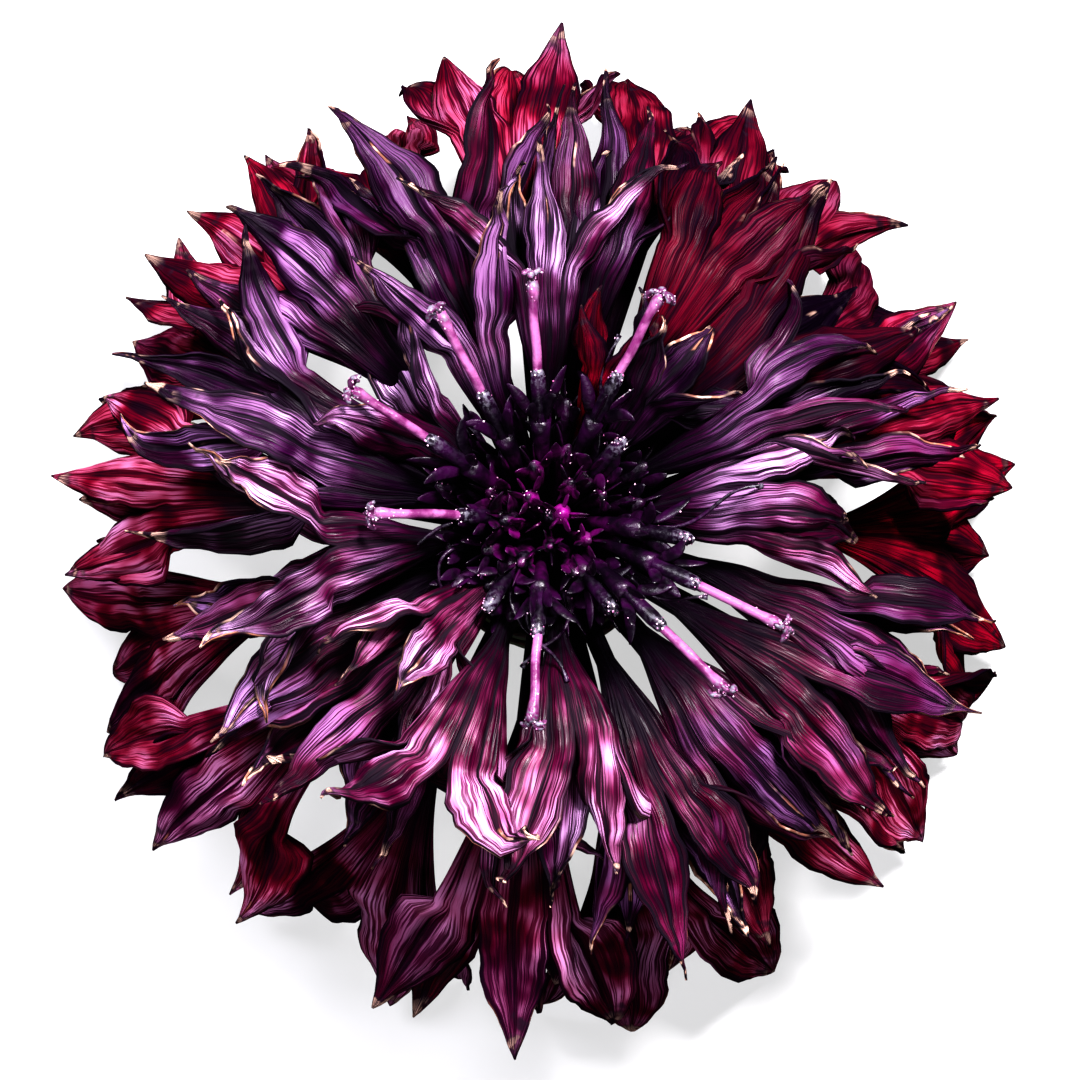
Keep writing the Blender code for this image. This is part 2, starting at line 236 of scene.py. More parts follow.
def bract_tissue():
    tissue = Tissue("bract_green", roughness=0.55)
    cloud = tissue.noise(420.0, detail=3.0)
    fibre = tissue.noise(1500.0, detail=3.0)
    tissue.bump(fibre, strength=0.35, depth=0.06 * MM)
    leaf = tissue.mix(tissue.step(cloud, 0.3, 0.7), (0.055, 0.075, 0.025), (0.15, 0.19, 0.07))
    rim = tissue.mix(tissue.step(fibre, 0.35, 0.65), (0.05, 0.012, 0.018), (0.13, 0.05, 0.04))
    return tissue.finish(tissue.mix(tissue.step(tissue.attribute("margin"), 0.55, 0.85), leaf, rim))


def shade_by(piece, key, values):
    """Stores one value a point on a piece, for its material to read."""
    shade = piece.data.attributes.new(key, "FLOAT", "POINT")
    shade.data.foreach_set("value", np.ascontiguousarray(values, np.float32))


def one_scale(row, low, high, radii, material):
    """One scale of the row round the Z axis, standing in the direction +X, curved like the cup."""
    rows, columns = 26, 18
    u = np.linspace(0.0, 1.0, rows + 1)[:, None]
    v = np.linspace(-1.0, 1.0, columns + 1)
    tooth = np.where(u > TEETH_START, np.abs((u * BRACT_TEETH * 2) % 2 - 1), 0.5)
    width = BRACT_OVERLAP * math.pi / BRACTS_IN_A_ROW * np.minimum(1.0, 0.62 + 0.9 * u)
    width = width * (1 - 0.94 * np.maximum(0.0, (u - 0.5) / 0.5) ** 1.9) * (1 + 0.1 * (tooth - 0.5))
    far = np.interp(u, np.linspace(0, 1, len(radii)), radii)
    far = far + BRACT_BULGE * (1 - v * v) + BRACT_TIP_LEAN * u * u
    spots = np.broadcast_arrays(far * np.cos(v * width), far * np.sin(v * width), low + u * (high - low))
    faces = [(a, a + 1, a + columns + 2, a + columns + 1)
             for first in range(0, rows * (columns + 1), columns + 1) for a in range(first, first + columns)]
    sheet = skin(row + "_one_scale", np.stack(spots, axis=-1).reshape(-1, 3), faces, material)
    upper = (u - MARGIN_START) / (1 - MARGIN_START)
    margins = np.where(upper > 0, np.maximum(np.abs(v) ** 3, upper), 0.7 * np.abs(v) ** 6)
    shade_by(sheet, "margin", margins.reshape(-1))
    return sheet


def node_tree(name, *inputs):
    """A new Geometry Nodes tree with named inputs. Returns it, what is given to it, and its result."""
    tree = bpy.data.node_groups.new(name, "GeometryNodeTree")
    tree.interface.new_socket("Geometry", in_out="INPUT", socket_type="NodeSocketGeometry")
    for title, kind, value in inputs:
        socket = tree.interface.new_socket(title, in_out="INPUT", socket_type="NodeSocket" + kind)
        if value is not None:
            socket.default_value = value
    tree.interface.new_socket("Geometry", in_out="OUTPUT", socket_type="NodeSocketGeometry")
    return tree, tree.nodes.new("NodeGroupInput").outputs, tree.nodes.new("NodeGroupOutput").inputs[0]


def dressed(tree, instances, material):
    """Turns a tree's instances into real meshes and gives them their material."""
    real = add_node(tree, "GeometryNodeRealizeInstances", {0: instances})
    return add_node(tree, "GeometryNodeSetMaterial", {0: real[0], "Material": material})[0]


def scale_ring(count, first_turn, material):
    """Geometry Nodes: stands copies of a scale round the flower's axis and makes them one mesh."""
    tree, given, result = node_tree("scale_ring", ("Scales", "Int", count),
                                    ("First Turn", "Float", first_turn))
    spots = add_node(tree, "GeometryNodePoints", {"Count": given["Scales"]})
    index = add_node(tree, "GeometryNodeInputIndex", {})
    step = add_node(tree, "ShaderNodeMath", {0: 2 * math.pi, 1: given["Scales"]}, operation="DIVIDE")
    turn = add_node(tree, "ShaderNodeMath", {0: index[0], 1: step[0], 2: given["First Turn"]},
                    operation="MULTIPLY_ADD")
    spin = add_node(tree, "ShaderNodeCombineXYZ", {"Z": turn[0]})
    stand = add_node(tree, "GeometryNodeInstanceOnPoints",
                     {"Points": spots[0], "Instance": given["Geometry"], "Rotation": spin[0]})
    tree.links.new(dressed(tree, stand[0], material), result)
    return tree


def baked(piece, name, tree, inputs=None):
    """Runs a Geometry Nodes tree on a piece and keeps only the plain mesh that it makes."""
    modifier = piece.modifiers.new("Nodes", "NODES")
    modifier.node_group = tree
    for socket in tree.interface.items_tree:
        if socket.in_out == "INPUT" and socket.name in (inputs or {}):
            modifier[socket.identifier] = inputs[socket.name]
    graph = bpy.context.evaluated_depsgraph_get()
    made = placed(name, bpy.data.meshes.new_from_object(piece.evaluated_get(graph)))
    bpy.data.objects.remove(piece)
    return made


def walled(piece, thickness):
    wall = piece.modifiers.new("Thickness", "SOLIDIFY")
    wall.thickness = thickness
    wall.offset = 0.0


bract_green = bract_tissue()
for row_number in range(1, BRACT_ROWS + 1):
    row = f"bract_row_{row_number}"
    foot, tips, cup = cup_outline(row)
    ring = baked(one_scale(row, foot, tips, cup, bract_green), row + "_scales",
                 scale_ring(BRACTS_IN_A_ROW, ROW_TURN * row_number, bract_green))
    for vertex in ring.data.vertices:
        vertex.co += AXIS
    walled(ring, BRACT_THICKNESS)
    stands_for(ring, row, "bract")


# ---- Florets -----------------------------------------------------------------------------
# Each floret is one corolla: a thread-thin tube that opens into a ribbed trumpet and splits
# into four to six pointed lobes. The petal tissue is thin as paper, creased along every lobe,
# rolled at its margins, and shrunk to a tan crust at some tips.
PETAL_THICKNESS = 0.11 * MM
TUBE_RADIUS = 0.4 * MM
LOBE_COLUMNS = 16
LOBE_ROWS = 20
TUBE_ROWS = 6
LIMB_ROWS = 18
COURSE_POINTS = 90
# Where a lobe stops following the trumpet's rim and takes its own shape, as a share of its length.
LOBE_SETS_FREE = 0.22
# The share of a lobe's length that lies before the end of the floret's CAD solid.
LOBE_BEFORE_END = 0.9
# The petal map's height at the trumpet's mouth, and the edge value on the trumpet's seams.
MOUTH_ON_MAP = 0.6
EDGE_ON_SEAM = 0.72
# How far a lobe's flare, curl, hook, twist and yaw stray in degrees, where wildness is 1.
STRAYS = (8, 17, 34, 30, 7)
# The swellings' waves in radians a metre, from coarse to fine, and how far all dents go in.
CRUMPLE_WAVES = (800.0, 1500.0, 2800.0)
DENTS = 0.11 * MM
TIP_DENTS = 0.20 * MM
TIP_DENTS_FINER = 2.6


@dataclass
class Look:
    """How one floret differs from its neighbours. Angles are in degrees, lengths in millimetres."""

    lobes: int
    roll: float  # where the first lobe stands on the rim
    width: float  # half the mouth's width
    depth: float  # half the mouth's depth
    limb: float  # length of the trumpet
    lobe: float  # length of the lobes
    fan: float  # how far the side lobes spread
    flare: float  # how far the lobes open at the rim
    fold: float  # how strongly a lobe is arched across
    tone: float  # 0 is crimson, 1 purple
    lilac: float  # amount of painted silvery highlight on the ridges
    dry: float  # amount of tan crust
    curl: float = 0.0
    hook: float = 0.0  # curl of the tip alone
    twist: float = 0.0
    swing: float = 0.0  # how far the floret bends aside
    wild: float = 1.0  # how irregular the lobes are
    wither: float = 0.5  # how shrunk the tips are
    dark: float = 0.0
    broad: float = 1.0  # breadth of the lobes
    waist: float = 0.85  # breadth of a lobe at the rim, as a share
    extend: float = 0.0  # how far it reaches past its CAD solid
    bright: float = 0.0  # how much lower its colour begins, above the painted shade of its throat, as a share of its length


def run_of(line):
    """The length along a line at each of its points."""
    return np.concatenate([[0.0], np.cumsum(np.linalg.norm(np.diff(line, axis=0), axis=1))])


def points_at(line, run, lengths):
    return np.stack([np.interp(lengths, run, column) for column in line.T], axis=1)


def softened(line, passes):
    """Takes the corners out of a line and keeps its ends."""
    for _ in range(passes):
        line[1:-1] = 0.25 * line[:-2] + 0.5 * line[1:-1] + 0.25 * line[2:]
    return line


def course(node):
    """The middle line of a floret's CAD solid: radius and height along it, and its bearing."""
    spots = cad_corners(node) - CENTRE
    ends = np.array([e.vertices[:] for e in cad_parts[node].data.edges])
    reach = np.hypot(spots[:, 0], spots[:, 1])
    far = spots[reach > 0.6 * reach.max()]
    bearing = math.atan2(far[:, 1].mean(), far[:, 0].mean())
    upright = reach < reach.min() + 0.8 * MM
    foot = reach[upright].mean()
    low, high = spots[upright, 2].min(), spots[upright, 2].max()
    line = [(foot, low + (high - low) * share) for share in (0.0, 0.35, 0.7, 0.93)]
    for radius in np.linspace(foot + 0.7 * MM, 0.985 * reach.max(), 24):
        first, second = reach[ends[:, 0]], reach[ends[:, 1]]
        cut = (first - radius) * (second - radius) < 0
        share = (radius - first[cut]) / (second[cut] - first[cut])
        heights = spots[ends[cut, 0], 2] * (1 - share) + spots[ends[cut, 1], 2] * share
        line.append((radius, heights.mean()))
    line = np.array(line)
    run = run_of(line)
    line = points_at(line, run, np.linspace(0.0, run[-1], COURSE_POINTS))
    return softened(line, 24), run[-1], bearing


def unit(vectors):
    return vectors / np.maximum(np.linalg.norm(vectors, axis=-1, keepdims=True), 1e-12)


def smooth(value):
    value = np.clip(value, 0.0, 1.0)
    return value * value * (3 - 2 * value)


def rings_round(middle, side, up, wide, high, angles):
    """Points round each point of a line, on an ellipse with the given half width and half height."""
    return (middle[:, None] + side[:, None] * (wide * np.cos(angles))[..., None]
            + up[:, None] * (high * np.sin(angles))[..., None])


class Route:
    """A floret's course in space, with the sideways and the upward direction at each point."""

    def __init__(self, node, swing):
        line, self.length, bearing = course(node)
        share = np.linspace(0.0, 1.0, len(line))
        angle = bearing + math.radians(swing) * smooth((share - 0.35) / 0.65)
        self.run = share * self.length
        self.middle = np.stack([line[:, 0] * np.cos(angle), line[:, 0] * np.sin(angle),
                                line[:, 1]], axis=1) + CENTRE
        self.ahead = unit(np.gradient(self.middle, axis=0))
        side = np.stack([-np.sin(angle), np.cos(angle), np.zeros_like(angle)], axis=1)
        self.side = unit(side - (side * self.ahead).sum(1, keepdims=True) * self.ahead)
        self.up = np.cross(self.ahead, self.side)

    def at(self, run):
        """Middle, ahead, side and up at lengths along the floret; past its end it goes straight on."""
        past = np.maximum(run - self.length, 0.0)[:, None]
        middle, ahead, side, up = (points_at(whole, self.run, run)
                                   for whole in (self.middle, self.ahead, self.side, self.up))
        return middle + past * ahead, unit(ahead), unit(side), unit(up)


def crumple(points, chance, amount):
    """Soft dents and swellings, a few millimetres apart, as petals get while they dry."""
    moved = points.copy()
    for wave in CRUMPLE_WAVES:
        for _ in range(3):
            push = unit(chance.normal(size=3))
            ways = unit(chance.normal(size=3)) * wave * chance.uniform(0.7, 1.3)
            phase = chance.uniform(0, 6.28)
            moved += push * (amount * 700.0 / wave) * np.sin(points @ ways + phase)[:, None]
    return moved


def ribbing(across):
    """Relief across one lobe, from -1 to 1: a crease in the middle and a ridge on each side."""
    ridges = 0.9 * np.exp(-(np.abs(across) / 0.45 - 1) ** 2 / 0.16)
    crease = np.exp(-(across / 0.12) ** 2)
    seams = 0.7 * np.exp(-((1 - np.abs(across)) / 0.12) ** 2)
    return ridges - crease - seams


def lobe_width(u, waist):
    """A lobe's half width along its length: its waist at the rim, then ovate, with a sharp tip."""
    belly = np.sin(np.pi * np.minimum(1.0, 1.08 * u))
    return (1 - u ** 2.2) ** 0.95 * (waist + (1.25 - waist) * belly) + 0.008


def lobe_sheet(route, look, chance, mouth, lobe_angle, rim):
    """One lobe: rows of points from the trumpet's mouth to the lobe's tip."""
    length = look.lobe * MM * chance.uniform(0.86, 1.10)
    half = look.broad * min(1.5, 0.40 * look.width + 0.38) * MM * chance.uniform(0.88, 1.12)
    usual = (look.flare, look.curl, look.hook, look.twist, 0.0)
    flare, curl, hook, twist, yaw = [math.radians(degrees + chance.normal() * stray * look.wild)
                                     for degrees, stray in zip(usual, STRAYS)]
    fold = look.fold * chance.uniform(0.35, 1.8)
    cupped = -1.0 if chance.uniform() < 0.4 else 1.0
    wave = chance.uniform(0, 6.28)
    u = np.linspace(0.0, 1.0, LOBE_ROWS + 1)
    v = np.linspace(-1.0, 1.0, LOBE_COLUMNS + 1)

    # The lobe's own line sets off along the floret, opens out, fans aside and curls.
    middle, ahead, side, up = route.at(mouth + u * length)
    a, b = look.width * MM, look.depth * MM
    cos, sin = math.cos(lobe_angle), math.sin(lobe_angle)
    out = unit(side * (cos / a) + up * (sin / b))
    sideways = (math.tan(math.radians(look.fan)) * cos * (1 - 0.35 * u) + math.tan(yaw) * u)[:, None]
    lean = (flare + curl * u ** 1.5 + hook * u ** 4)[:, None]
    heading = unit(ahead * np.cos(lean) + out * np.sin(lean) + side * sideways)
    steps = heading * length / LOBE_ROWS
    spine = np.concatenate([np.zeros((1, 3)), np.cumsum((steps[1:] + steps[:-1]) / 2, axis=0)])
    spine = spine + middle[0] + side[0] * a * cos + up[0] * b * sin
    face = unit(out - (out * heading).sum(1, keepdims=True) * heading)
    across = np.cross(heading, face)
    if (across[0] @ (-side[0] * sin * a + up[0] * cos * b)) < 0:
        across = -across
    turn = (twist * u ** 1.3)[:, None]
    across, face = (across * np.cos(turn) + face * np.sin(turn),
                    face * np.cos(turn) - across * np.sin(turn))

    # Its cross-section is an arc with the ribs' relief, wavy margins and torn edges.
    torn = 0.03 + 0.05 * look.wither * u
    ragged = 1 + torn * np.sin(17 * u + wave) + 0.7 * torn * np.sin(37 * u + 2 * wave)
    half_width = (half * lobe_width(u, look.waist) * ragged)[:, None]
    bow = (0.25 + 1.6 * fold * (0.45 + 0.65 * u))[:, None]
    reach = np.sin(bow * v) / bow
    drop = cupped * (1 - np.cos(bow * v)) / bow - 0.15 * ribbing(v) * (1 - 0.5 * u)[:, None]
    drop = drop + 0.14 * np.sin(9 * u + wave)[:, None] * v ** 3
    drop = drop + 0.045 * np.sin(11 * v + wave + 2.5 * np.sin(3 * u + wave)[:, None])
    strip = (spine[:, None] + across[:, None] * (half_width * reach)[..., None]
             - face[:, None] * (half_width * drop)[..., None])

    # Near the mouth it is still a part of the trumpet's ring.
    angles = lobe_angle + v * (math.pi / look.lobes) * (1 - 0.3 * u)[:, None]
    ring = rings_round(middle, side, up, a * rim, b * rim, angles)
    share = smooth(u / LOBE_SETS_FREE)[:, None, None]
    return ring * (1 - share) + strip * share


class Sheet:
    """Collects a corolla's points, faces, unrolled map and shading values while it is built."""

    def __init__(self):
        self.points, self.faces, self.layout = [], [], []
        self.values = {key: [] for key in ("along", "tip", "edge", "rib", "tone", "lilac", "dark")}

    def add(self, points, **values):
        self.points.append(points.reshape(-1, 3))
        for key, kept in self.values.items():
            kept.append(np.broadcast_to(values[key], points.shape[:2]).reshape(-1))

    def strip(self, lower, upper, first, columns, low, high):
        """Faces between two rows of point numbers, laid on the map from its first column on."""
        for c in range(len(lower) - 1):
            self.faces.append((lower[c], lower[c + 1], upper[c + 1], upper[c]))
            left, right = (first + c) / columns, (first + c + 1) / columns
            self.layout += [(left, low), (right, low), (right, high), (left, high)]


def trumpet(sheet, route, look, runs, throat):
    """Adds the tube and the trumpet to the sheet, and returns the relief round the rim of a lobe."""
    rows, columns = len(runs), look.lobes * LOBE_COLUMNS
    middle, _, side, up = route.at(runs)
    opened = np.clip((runs - throat) / (runs[-1] - throat), 0.0, 1.0)
    a, b = (TUBE_RADIUS + (half * MM - TUBE_RADIUS) * opened[:, None] ** 1.1
            for half in (look.width, look.depth))
    angles = math.radians(look.roll) + 2 * math.pi * np.arange(columns) / columns
    across = ((np.arange(columns) % LOBE_COLUMNS) / LOBE_COLUMNS) * 2 - 1
    relief = 0.11 * ribbing(across) + 0.02 * np.cos(3.5 * np.pi * across)
    pleat = 1 + relief * smooth(opened * 1.6)[:, None]
    tube = rings_round(middle, side, up, a * pleat, b * pleat, angles)
    sheet.add(tube, along=(runs / route.length)[:, None] + look.bright, tip=0.0, rib=ribbing(across),
              edge=EDGE_ON_SEAM * np.abs(across) * smooth(opened)[:, None],
              tone=look.tone, lilac=look.lilac, dark=look.dark)
    for i in range(rows - 1):
        low, high = (MOUTH_ON_MAP * row / (rows - 1) for row in (i, i + 1))
        lower = [i * columns + c % columns for c in range(columns + 1)]
        sheet.strip(lower, [point + columns for point in lower], 0, columns, low, high)
    return np.append(relief[:LOBE_COLUMNS], relief[0])


def corolla(name, node, look, chance, material, slot):
    """Builds a floret's whole corolla along its CAD solid's course and puts it in that node's place."""
    route = Route(node, look.swing)
    columns = look.lobes * LOBE_COLUMNS
    mouth = route.length + (look.extend - LOBE_BEFORE_END * look.lobe) * MM
    throat = mouth - look.limb * MM
    runs = np.concatenate([np.linspace(0.0, throat, TUBE_ROWS, endpoint=False),
                           np.linspace(throat, mouth, LIMB_ROWS + 1)])
    sheet = Sheet()
    rim = 1 + trumpet(sheet, route, look, runs, throat)
    total = len(runs) * columns
    last_ring = total - columns
    u = np.linspace(0.0, 1.0, LOBE_ROWS + 1)[1:, None]
    v = np.linspace(-1.0, 1.0, LOBE_COLUMNS + 1)
    begun = smooth(u * 2.5)
    for lobe in range(look.lobes):
        angle = math.radians(look.roll) + 2 * math.pi * (lobe + 0.5) / look.lobes
        lobe_points = lobe_sheet(route, look, chance, mouth, angle, rim)[1:]
        own_tone, own_painted_highlight = chance.normal() * 0.3, chance.uniform(0.3, 1.5)
        own_dark = max(0.0, chance.normal() * 0.22)
        sheet.add(lobe_points, tip=u, rib=ribbing(v),
                  along=look.bright + mouth / route.length + u * (1 - mouth / route.length),
                  edge=np.abs(v) * (EDGE_ON_SEAM + (1 - EDGE_ON_SEAM) * smooth(u * 3)),
                  tone=look.tone + own_tone * begun, dark=look.dark + own_dark * begun,
                  lilac=look.lilac * (1 + (own_painted_highlight - 1) * begun))
        base = [last_ring + (lobe * LOBE_COLUMNS + c) % columns for c in range(LOBE_COLUMNS + 1)]
        for i in range(LOBE_ROWS):
            upper = [total + i * (LOBE_COLUMNS + 1) + c for c in range(LOBE_COLUMNS + 1)]
            low, high = (MOUTH_ON_MAP + (1 - MOUTH_ON_MAP) * row / LOBE_ROWS for row in (i, i + 1))
            sheet.strip(base, upper, lobe * LOBE_COLUMNS, columns, low, high)
            base = upper
        total += LOBE_ROWS * (LOBE_COLUMNS + 1)
    points = np.concatenate(sheet.points)
    values = {key: np.concatenate(kept) for key, kept in sheet.values.items()}
    shaken = crumple(points, chance, DENTS * look.wild)
    points = points + (shaken - points) * smooth((values["along"] - 0.45) / 0.25)[:, None]
    shrunk = crumple(points * TIP_DENTS_FINER, chance, TIP_DENTS) - points * TIP_DENTS_FINER
    points = points + shrunk * (smooth((values["tip"] - 0.45) / 0.55) * look.wither)[:, None]
    points[:, 2] = np.maximum(points[:, 2], FLOOR + 0.5 * PETAL_THICKNESS)
    piece = skin(name, points, sheet.faces, material)
    values.update(dry=look.dry, own=chance.uniform(0, 1))
    for key, value in values.items():
        shade_by(piece, key, np.broadcast_to(value, len(points)))
    chart = piece.data.uv_layers.new(name="PetalMap")
    chart.data.foreach_set("uv", np.array(sheet.layout, np.float32).reshape(-1))
    walled(piece, PETAL_THICKNESS)
    stands_for(piece, node, slot)


def petal_tissue(name, crimson, purple, bloom_color, gloss, veins_and_crease_shade):
    """Petal tissue: black as painted shade in the tube and, with dark veins, in the creases; crimson to
    purple on its ridges; a painted silvery highlight.
    """
    black, brown = (0.003, 0.0006, 0.004), (0.012, 0.006, 0.012)
    tan, cream = (0.26, 0.11, 0.07), (0.66, 0.43, 0.34)
    tissue = Tissue(name, roughness=0.36, Specular_IOR_Level=gloss)
    chart = add_node(tissue.tree, "ShaderNodeUVMap", {}, uv_map="PetalMap")
    parts = add_node(tissue.tree, "ShaderNodeSeparateXYZ", {0: chart["UV"]})
    step, times, plus, maths = tissue.step, tissue.times, tissue.plus, tissue.maths
    mix, noise, attribute = tissue.mix, tissue.noise, tissue.attribute
    own, edge, tip, along, rib = (attribute(key) for key in ("own", "edge", "tip", "along", "rib"))

    def stripes(wide, long, roughness):
        """Noise drawn out along the petal, in a place of its own for each floret."""
        inputs = {"X": times(parts["X"], wide), "Y": times(parts["Y"], long), "Z": times(own, 57.0)}
        vector = add_node(tissue.tree, "ShaderNodeCombineXYZ", inputs)[0]
        return noise(1.0, detail=1.0, roughness=roughness, vector=vector)

    broad = stripes(wide=60.0, long=3.2, roughness=0.5)
    fine = stripes(wide=190.0, long=7.0, roughness=0.6)
    cloud = noise(270.0)
    blotch = noise(1500.0, detail=1.0, roughness=0.7)
    raised = plus(times(step(rib, -1.0, 0.8), 0.26), times(broad, 0.75), times(fine, 0.45))
    ridge = step(raised, 0.45, 0.95)

    # Crimson to purple, then black in the creases, partly dark veins and partly painted shade, and black in
    # cloudy patches.
    tone = plus(attribute("tone"), times(maths("SUBTRACT", cloud, 0.5), 1.5))
    color = mix(step(tone, 0.0, 1.0), crimson, purple)
    # Painted shade in the creases and the valleys between the stripes, together with dark veins.
    color = mix(step(ridge, 0.92, 0.18, 0.0, veins_and_crease_shade), color, black)
    color = mix(step(fine, 0.55, 0.43, 0.0, 0.7 * veins_and_crease_shade), color, black)
    color = mix(step(cloud, 0.56, 0.36, 0.0, 0.85), color, black)

    # Painted silvery highlight on the ridges of the lobes. The tube and the throat stay black, as painted
    # shade deep in the flower.
    bloom = times(step(ridge, 0.35, 0.9), step(cloud, 0.42, 0.66), attribute("lilac"),
                  step(along, 0.60, 0.84), step(fine, 0.44, 0.56, 0.1, 1.0))
    color = mix(bloom, color, bloom_color)
    # Painted shade: black in the tube and the throat, deep inside the flower.
    throat = step(along, 0.54, 0.83, 0.985, 0.0)
    color = mix(maths("MAXIMUM", throat, attribute("dark")), color, black)

    # Withered tips, dark margins, and a tan to cream crust where the tissue has dried through.
    dried = plus(tip, times(maths("SUBTRACT", blotch, 0.5), 0.9))
    color = mix(step(dried, 0.76, 0.96, 0.0, 0.85), color, brown)
    color = mix(step(edge, 0.80, 1.0, 0.0, 0.75), color, black)
    margin = times(step(edge, 0.90, 0.98), step(cloud, 0.50, 0.56))
    crack = times(step(rib, -0.45, -0.85), step(cloud, 0.60, 0.63))
    burnt = times(step(tip, 0.80, 0.95), step(blotch, 0.50, 0.58))
    crust = times(maths("MAXIMUM", margin, crack, burnt), attribute("dry"),
                  step(tip, 0.35, 0.75), step(fine, 0.40, 0.52))
    color = mix(crust, color, mix(step(blotch, 0.46, 0.62), tan, cream))
    tissue.bump(plus(broad, times(fine, 0.45)), strength=0.8, depth=0.22 * MM)
    return tissue.finish(color, step(ridge, 0.20, 0.90, 0.75, 0.32))


crimson_petal = petal_tissue("crimson_petal", crimson=(0.20, 0.0005, 0.016), purple=(0.068, 0.0009, 0.026),
                             bloom_color=(0.46, 0.21, 0.38), gloss=0.03, veins_and_crease_shade=0.78)
wine_petal = petal_tissue("wine_petal", crimson=(0.12, 0.0008, 0.026), purple=(0.045, 0.002, 0.038),
                          bloom_color=(0.44, 0.22, 0.48), gloss=0.09, veins_and_crease_shade=0.95)
violet_petal = petal_tissue("violet_petal", crimson=(0.16, 0.0015, 0.046), purple=(0.06, 0.003, 0.055),
                            bloom_color=(0.62, 0.37, 0.64), gloss=0.13, veins_and_crease_shade=0.95)

# What the florets of a tier have in common, from the skirt on the floor to the innermost.
# A floret's lilac is how much painted silvery highlight its ridges take.
USUAL = {
    "skirt": dict(width=2.8, depth=0.6, limb=8.5, lobe=7.0, fan=25, flare=3, fold=0.2,
                  tone=0.15, lilac=0.25, dry=0.4, wild=0.75, wither=0.2),
    "spread": dict(width=2.7, depth=0.6, limb=9.0, lobe=7.0, fan=25, flare=4, fold=0.3,
                   tone=0.15, lilac=0.25, dry=0.4, wild=0.8, wither=0.25),
    "middle": dict(width=1.75, depth=0.9, limb=6.5, lobe=8.2, fan=22, flare=7, fold=0.5,
                   tone=0.5, lilac=0.3, dry=0.8, wild=1.25, wither=1.0, waist=0.68, broad=1.18),
    "inner": dict(width=1.5, depth=1.0, limb=5.5, lobe=7.6, fan=22, flare=11, fold=0.6,
                  tone=0.5, lilac=0.55, dry=1.0, wild=1.5, wither=1.3, waist=0.60, broad=1.2),
}
# What sets each floret apart, counted from the right and round to the left.
OWN = {
    "skirt": (
        dict(lobes=5, roll=18, width=3.9, depth=0.4, limb=8.0, lobe=6.8, fan=34, fold=0.08,
             tone=-0.3, lilac=0.0, dry=0.1, wild=0.4, broad=1.15, bright=0.25),
        dict(tone=0.35, dark=0.4, lilac=0.2, twist=20),
        dict(extend=0.7, roll=18, width=3.2, lobe=6.0, fan=24, tone=-0.1, dark=0.32, wild=0.6),
        dict(extend=0.7, width=3.0, lobe=6.8, tone=-0.1, dry=0.2, wild=0.7),
        dict(extend=-0.4, lobe=6.4, tone=0.0, lilac=0.5),
        dict(extend=-0.4, width=3.3, tone=0.1, lilac=0.85, dry=0.7, broad=1.1),
        dict(width=3.4, tone=0.5, dark=0.05, lilac=0.8, broad=1.2),
        dict(extend=-0.7, width=3.3, tone=0.4, dark=0.05, lilac=0.8, dry=0.7, broad=1.2),
        dict(tone=-0.1, lilac=0.7, broad=1.1, bright=0.1),
    ),
    "spread": (
        dict(tone=0.1, lilac=0.15, bright=0.15),
        dict(lobe=6.2, tone=0.0, dark=0.4, dry=0.5),
        dict(extend=0.5, tone=0.2, lilac=0.35, hook=30),
        dict(width=3.0, fan=32, tone=-0.2, wild=0.6),
        dict(extend=-0.4, tone=0.1, lilac=0.7, dry=0.6),
        dict(width=3.3, tone=0.45, lilac=0.8, broad=1.12),
        dict(extend=-0.7, width=3.1, tone=0.5, lilac=0.8, broad=1.2),
        dict(tone=-0.1, lilac=0.55),
    ),
    "middle": (
        dict(tone=0.6, lilac=0.4, dry=1.0, fan=15, fold=0.8, broad=0.95, swing=5),
        dict(lobes=5, roll=18, width=3.0, depth=0.7, limb=9, lobe=7.6, fan=27, tone=-0.3, dark=0.84,
             lilac=0.05, wild=0.8, wither=0.4, broad=1.1),
        dict(width=2.2, tone=-0.1, dark=0.7, lilac=0.1, dry=0.5),
        dict(tone=0.8, dark=0.42, dry=0.9),
        dict(roll=36, width=2.0, depth=1.7, flare=24, curl=15, tone=0.6, dark=0.3, lilac=0.2),
        dict(width=2.2, tone=0.7, dark=0.15, lilac=0.8, dry=0.3),
        dict(tone=0.7, lilac=1.1),
        dict(width=2.1, tone=0.4, lilac=1.2),
        dict(width=2.0, tone=0.4, lilac=0.8),
        dict(width=2.1, tone=0.3, lilac=0.5, dry=1.0),
        dict(width=2.2, tone=0.4, lilac=0.5),
        dict(width=2.1, tone=0.3, dark=0.05, lilac=0.4, dry=0.7),
        dict(fan=15, lilac=0.4, dry=0.9, swing=-8),
    ),
    "inner": (
        dict(width=1.8, fan=12, tone=0.7, lilac=0.7, dry=0.8, swing=3),
        dict(width=1.3, fold=1.1, tone=0.8, dark=0.2, lilac=0.35),
        dict(width=1.1, limb=3.6, lobe=4.4, hook=80, tone=0.9, dark=0.5, lilac=0.15),
        dict(width=0.9, limb=3.0, lobe=3.4, tone=-0.6, lilac=0.0, dry=0.2, wild=0.5, wither=0.4),
        dict(fold=0.9, tone=0.7, lilac=0.8, dry=0.9),
        dict(width=1.3, hook=60, tone=0.6, lilac=0.7, dry=0.8),
        dict(limb=4.5, lobe=6.4, tone=0.6, lilac=1.0),
        dict(width=1.9, limb=6.5, lobe=8.4, tone=0.9, lilac=1.2),
        dict(width=1.9, depth=1.7, flare=30, curl=25, lilac=1.1, wild=1.1),
        dict(width=1.4, limb=4.4, lobe=5.6, tone=0.1, lilac=0.7),
        dict(lobes=5, roll=18, width=2.2, depth=2.2, limb=6.2, lobe=6.4, fan=10, flare=50, curl=42,
             hook=15, tone=0.0, lilac=0.9, wild=0.7),
        dict(width=1.9, fan=12, fold=0.8, tone=0.2, lilac=0.65),
    ),
}
TIERS = (("skirt", 500, "outer_petal", crimson_petal), ("spread", 600, "outer_petal", crimson_petal),
         ("middle", 600, "middle_petal", wine_petal), ("inner", 500, "inner_petal", violet_petal))
